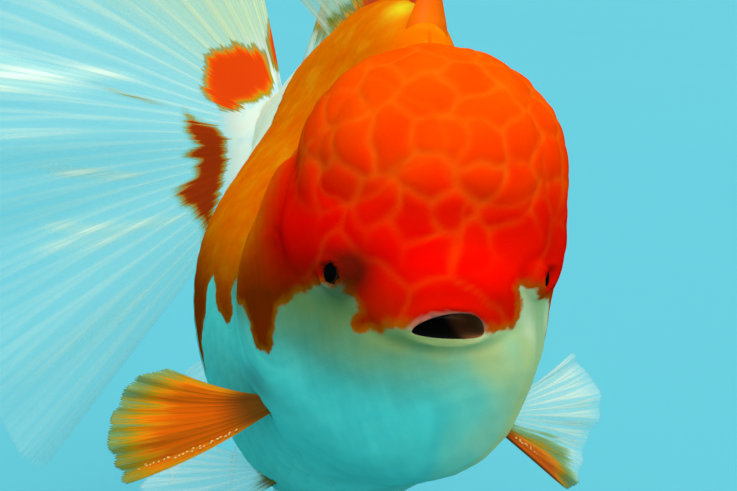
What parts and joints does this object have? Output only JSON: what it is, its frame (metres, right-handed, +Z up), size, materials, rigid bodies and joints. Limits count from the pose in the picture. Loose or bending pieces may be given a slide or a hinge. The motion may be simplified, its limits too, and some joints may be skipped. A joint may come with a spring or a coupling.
{
  "type": "oranda goldfish model",
  "caption": "Life-size model of a red-and-white oranda goldfish with a tall head growth and twin tail, held level by two rods on a flat base.",
  "frame": {"origin": "middle of the underside of the stand's base, on the floor", "axes": "+Z up; the nose points towards -Y and the fish's left side is +X"},
  "size_m": [0.134, 0.1897, 0.2023],
  "materials": {
    "wen_skin": "orange-red, satin, in soft raspberry-like lobes",
    "face_skin": "red-orange above, milky white below, satin",
    "jaw_skin": "milky white, satin",
    "gill_cover_skin": "dark orange-red over white, satin",
    "trunk_scales": "orange back over a pearly white belly, scaled, satin sheen",
    "stem_scales": "pearly white, scaled",
    "eye": "black pupil in a dark bronze iris, polished",
    "dorsal_fin_membrane": "orange to yellow, rayed, thin",
    "pectoral_fin_membrane": "orange rays fading to translucent white",
    "white_fin_membrane": "translucent white, rayed",
    "tail_fin_membrane": "translucent white with orange-red patches, rayed",
    "stand_base_finish": "black satin lacquer",
    "stand_rod_steel": "brushed steel"
  },
  "bodies": {
    "root": {"wen": "wen_skin", "head": "face_skin", "jaw": "jaw_skin", "gill_cover_left": "gill_cover_skin", "gill_cover_right": "gill_cover_skin", "trunk": "trunk_scales", "tail_stem": "stem_scales", "eye_left": "eye", "eye_right": "eye", "dorsal_fin": "dorsal_fin_membrane", "pectoral_fin_left": "pectoral_fin_membrane", "pectoral_fin_right": "pectoral_fin_membrane", "pelvic_fin_left": "white_fin_membrane", "pelvic_fin_right": "white_fin_membrane", "anal_fin_left": "white_fin_membrane", "anal_fin_right": "white_fin_membrane", "tail_fin_left": "tail_fin_membrane", "tail_fin_right": "tail_fin_membrane", "stand_base": "stand_base_finish", "stand_rod_front": "stand_rod_steel", "stand_rod_rear": "stand_rod_steel"}
  },
  "joints": []
}
